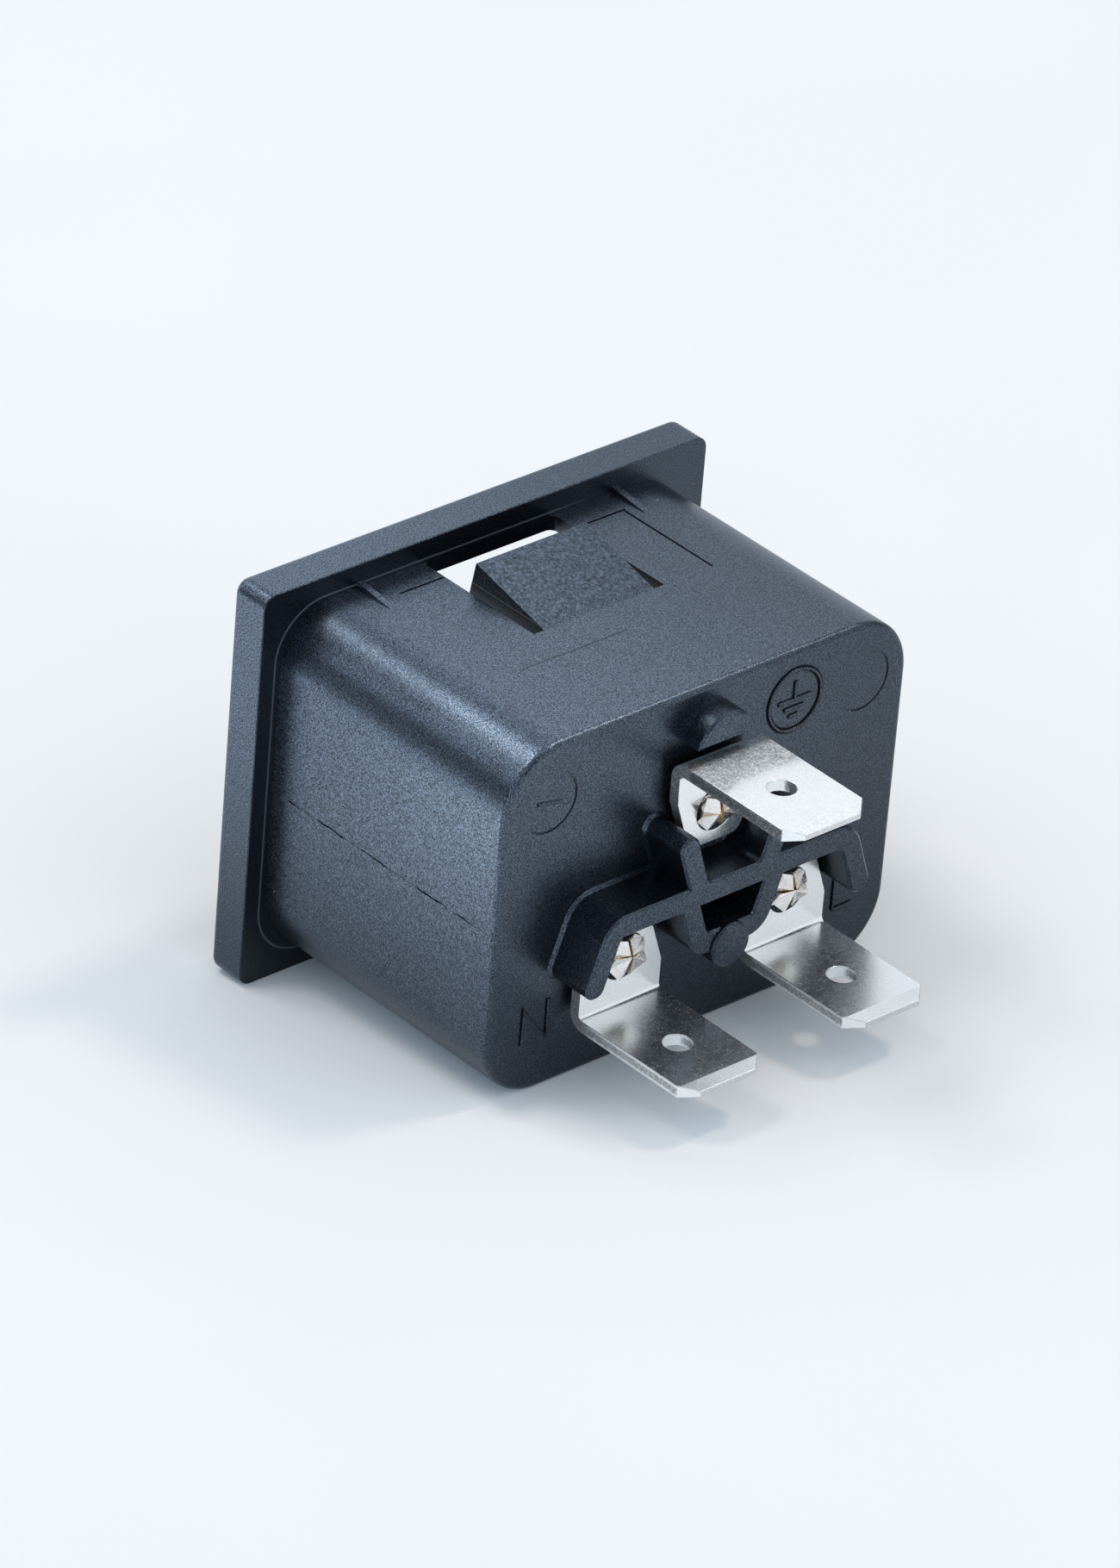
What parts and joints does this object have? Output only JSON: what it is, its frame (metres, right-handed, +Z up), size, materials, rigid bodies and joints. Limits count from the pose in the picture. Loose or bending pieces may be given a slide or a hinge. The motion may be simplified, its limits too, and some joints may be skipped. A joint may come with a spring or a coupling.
{
  "type": "panel appliance inlet",
  "caption": "Snap-in panel inlet for a high-current appliance plug: flanged black socket with spring catches, flat pins and flat quick-connect tabs behind.",
  "frame": {"origin": "centre of the panel opening, on the rear face of the flange that seats on the panel", "axes": "+X across, towards the neutral side; +Y from the plug side through the panel to the terminals; +Z up, earth pin on top"},
  "size_m": [0.0346, 0.0338, 0.027],
  "materials": {
    "housing": "fine spark-eroded grain",
    "pins": "bright plating over brass",
    "tabs": "satin tin plating over brass"
  },
  "bodies": {
    "root": {"housing": "housing", "line_pin": "pins", "neutral_pin": "pins", "earth_pin": "pins", "line_tab": "tabs", "neutral_tab": "tabs", "earth_tab": "tabs"}
  },
  "joints": []
}
